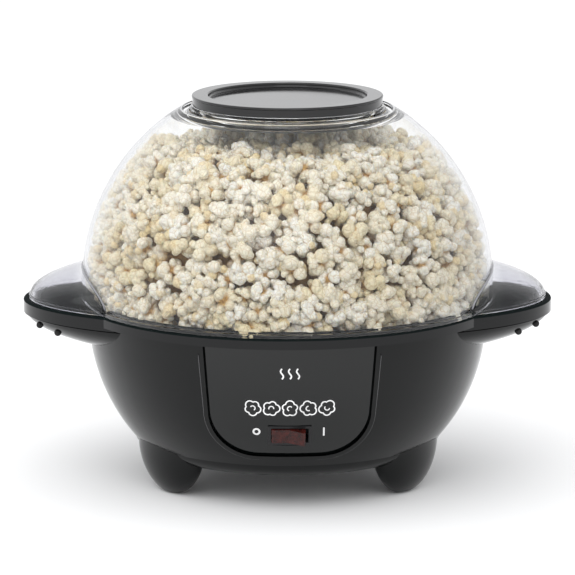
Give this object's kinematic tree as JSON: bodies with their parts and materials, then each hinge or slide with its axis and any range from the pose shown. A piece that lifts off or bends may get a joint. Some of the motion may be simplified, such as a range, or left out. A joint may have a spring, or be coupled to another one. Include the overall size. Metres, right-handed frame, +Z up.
{
  "type": "popcorn maker",
  "caption": "Stirring popcorn maker: black bowl base with a heated pan and motor-driven stirring rod, clear lift-off dome with handle canopies and a round lift-off lid.",
  "frame": {"origin": "centre of the bounding box's footprint, on the table under the foot pads", "axes": "+X to the right-hand handle as seen from the front, +Y to the back (away from the control panel), +Z up"},
  "size_m": [0.4, 0.3178, 0.2932],
  "materials": {
    "black_gloss": "moulded black, high gloss",
    "black_lid": "moulded black, gloss",
    "black_panel": "moulded black, mirror gloss",
    "black_plastic": "moulded black, satin",
    "black_rubber": "matt",
    "brass_blade": "bright brass",
    "bronze": "sintered bronze",
    "ceramic_body": "cream, matt",
    "clear_dome": "clear, polished, colourless",
    "copper": "enamelled copper winding",
    "element_sheath": "dull aluminium sheath",
    "ferrite": "dull ferrite",
    "glass_sleeve": "woven glass-fibre sleeve",
    "nonstick": "aluminium with a dark non-stick coat",
    "nylon": "natural nylon",
    "plated_steel": "zinc plated sheet",
    "red_rocker": "translucent dark red",
    "screw_steel": "zinc plated",
    "shaft_steel": "ground and plated",
    "sheet_metal": "bright pressed sheet",
    "silicone": "matt, red silicone",
    "wire_blue": "blue insulation",
    "wire_brown": "brown insulation"
  },
  "bodies": {
    "base": {"bottom_cover": "black_plastic", "bottom_cover_screws": "screw_steel", "control_panel": "black_panel", "cord_bush": "black_rubber", "deck_screws": "screw_steel", "element_clamps": "plated_steel", "foot_front_left": "black_gloss", "foot_front_right": "black_gloss", "foot_pad_front_left": "black_rubber", "foot_pad_front_right": "black_rubber", "foot_pad_rear": "black_rubber", "foot_rear": "black_gloss", "foot_screws": "screw_steel", "gearbox_cover": "plated_steel", "gearbox_floor": "plated_steel", "grip_studs_left": "black_rubber", "grip_studs_right": "black_rubber", "heat_shield": "sheet_metal", "heat_shield_screws": "screw_steel", "heating_element": "element_sheath", "heating_plate": "nonstick", "idler_pin": "shaft_steel", "lower_housing": "black_gloss", "motor_can": "plated_steel", "motor_coil": "copper", "motor_pin": "shaft_steel", "motor_screws": "screw_steel", "motor_spacers": "plated_steel", "plate_seal": "silicone", "shaft_bush": "bronze", "switch_body": "black_plastic", "switch_terminals": "brass_blade", "terminal_block": "nylon", "thermal_fuse": "glass_sleeve", "thermostat": "ceramic_body", "top_deck": "black_gloss", "wire_element_to_neutral": "wire_blue", "wire_fuse_to_thermostat": "wire_brown", "wire_live_to_switch": "wire_brown", "wire_motor": "wire_brown", "wire_switch_to_fuse": "wire_brown", "wire_thermostat_to_element": "wire_brown"},
    "dome": {"dome_cover": "clear_dome"},
    "lid": {"lid_cap": "black_lid"},
    "stirrer": {"output_gear": "nylon", "drive_spindle": "shaft_steel", "stir_rod": "shaft_steel", "stir_hub_cap": "black_plastic"},
    "idler": {"idler_gear": "nylon"},
    "rotor": {"rotor_magnet": "ferrite", "rotor_pinion": "nylon"},
    "rocker": {"switch_rocker": "red_rocker"}
  },
  "joints": [
    {"name": "dome_lift", "type": "slide", "parent": "base", "child": "dome", "axis": [0, 0, 1], "range_m": [0, 0.25]},
    {"name": "lid_lift", "type": "slide", "parent": "dome", "child": "lid", "axis": [0, 0, 1], "range_m": [0, 0.06]},
    {"name": "stirrer_spin", "type": "hinge", "parent": "base", "child": "stirrer", "pos_m": [0, 0, 0.118], "axis": [0, 0, 1], "continuous": true},
    {"name": "idler_spin", "type": "hinge", "parent": "base", "child": "idler", "pos_m": [0.0175, 0, 0.084], "axis": [0, 0, 1], "continuous": true},
    {"name": "rotor_spin", "type": "hinge", "parent": "base", "child": "rotor", "pos_m": [0, 0, 0.071], "axis": [0, 0, 1], "continuous": true},
    {"name": "rocker_tilt", "type": "hinge", "parent": "base", "child": "rocker", "pos_m": [0, -0.13014, 0.06412], "axis": [0, -0.4602, 0.8878], "range_deg": [0, 18]}
  ],
  "couplings": [
    {"joint": "idler_spin", "follows": "stirrer_spin", "ratio": -6},
    {"joint": "rotor_spin", "follows": "stirrer_spin", "ratio": 36}
  ]
}
